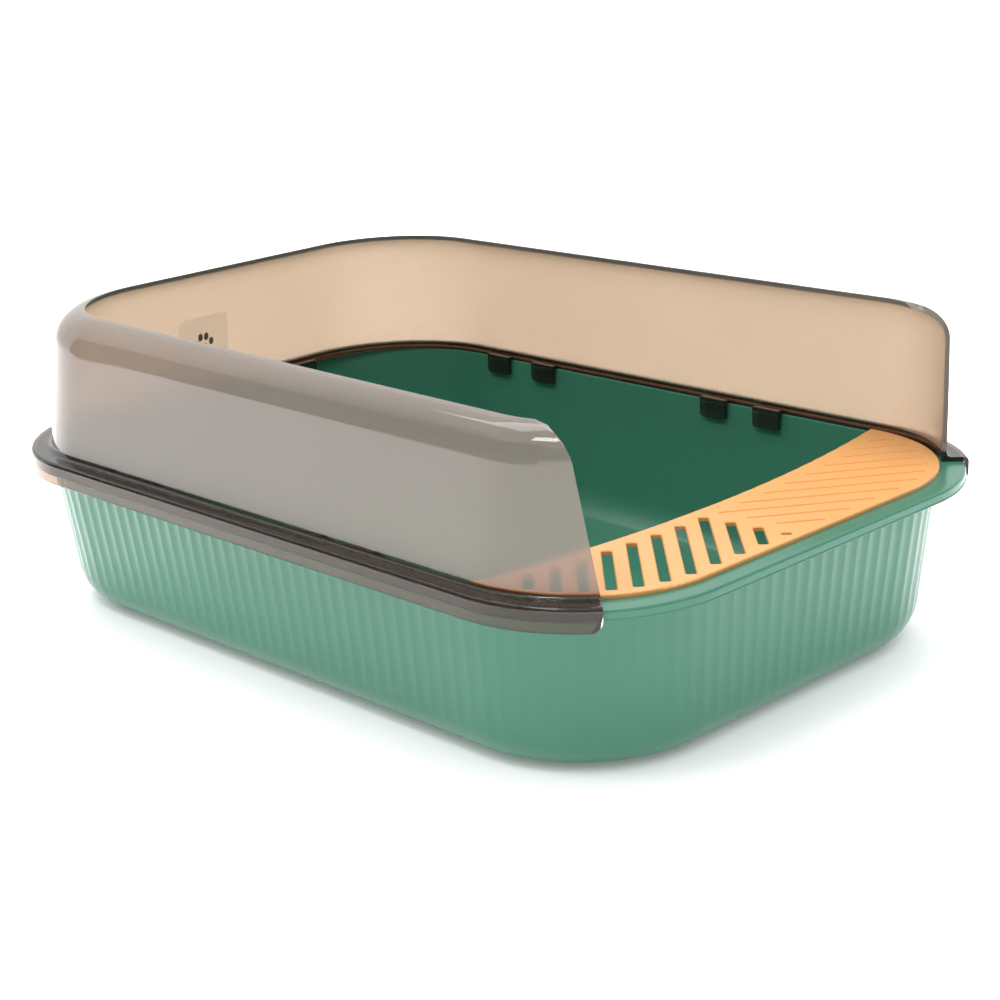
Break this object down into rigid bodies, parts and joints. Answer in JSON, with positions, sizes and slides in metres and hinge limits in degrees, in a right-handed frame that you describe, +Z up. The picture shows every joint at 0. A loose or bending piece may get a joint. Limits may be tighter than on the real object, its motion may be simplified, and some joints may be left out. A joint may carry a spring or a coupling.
{
  "type": "cat litter box",
  "caption": "Open cat litter tub with a lift-off see-through guard around three sides and a slotted entry step at the front.",
  "frame": {"origin": "on the floor, under the middle of the whole object's box", "axes": "+Z up, -Y out of the open entrance, X across the width"},
  "size_m": [0.3392, 0.4978, 0.1745],
  "materials": {
    "green_plastic": "satin moulded polypropylene",
    "smoke_plastic": "clear smoke-brown moulded plastic",
    "peach_plastic": "satin moulded polypropylene",
    "clear_film": "thin clear label film"
  },
  "bodies": {
    "tub": {"tub": "green_plastic"},
    "guard": {"guard": "smoke_plastic", "label": "clear_film"},
    "entry_step": {"entry_step": "peach_plastic"}
  },
  "joints": [
    {"name": "guard_lift", "type": "slide", "parent": "tub", "child": "guard", "axis": [0, 0, 1], "range_m": [0, 0.15]},
    {"name": "step_lift", "type": "slide", "parent": "tub", "child": "entry_step", "axis": [0, 0, 1], "range_m": [0, 0.03]}
  ]
}
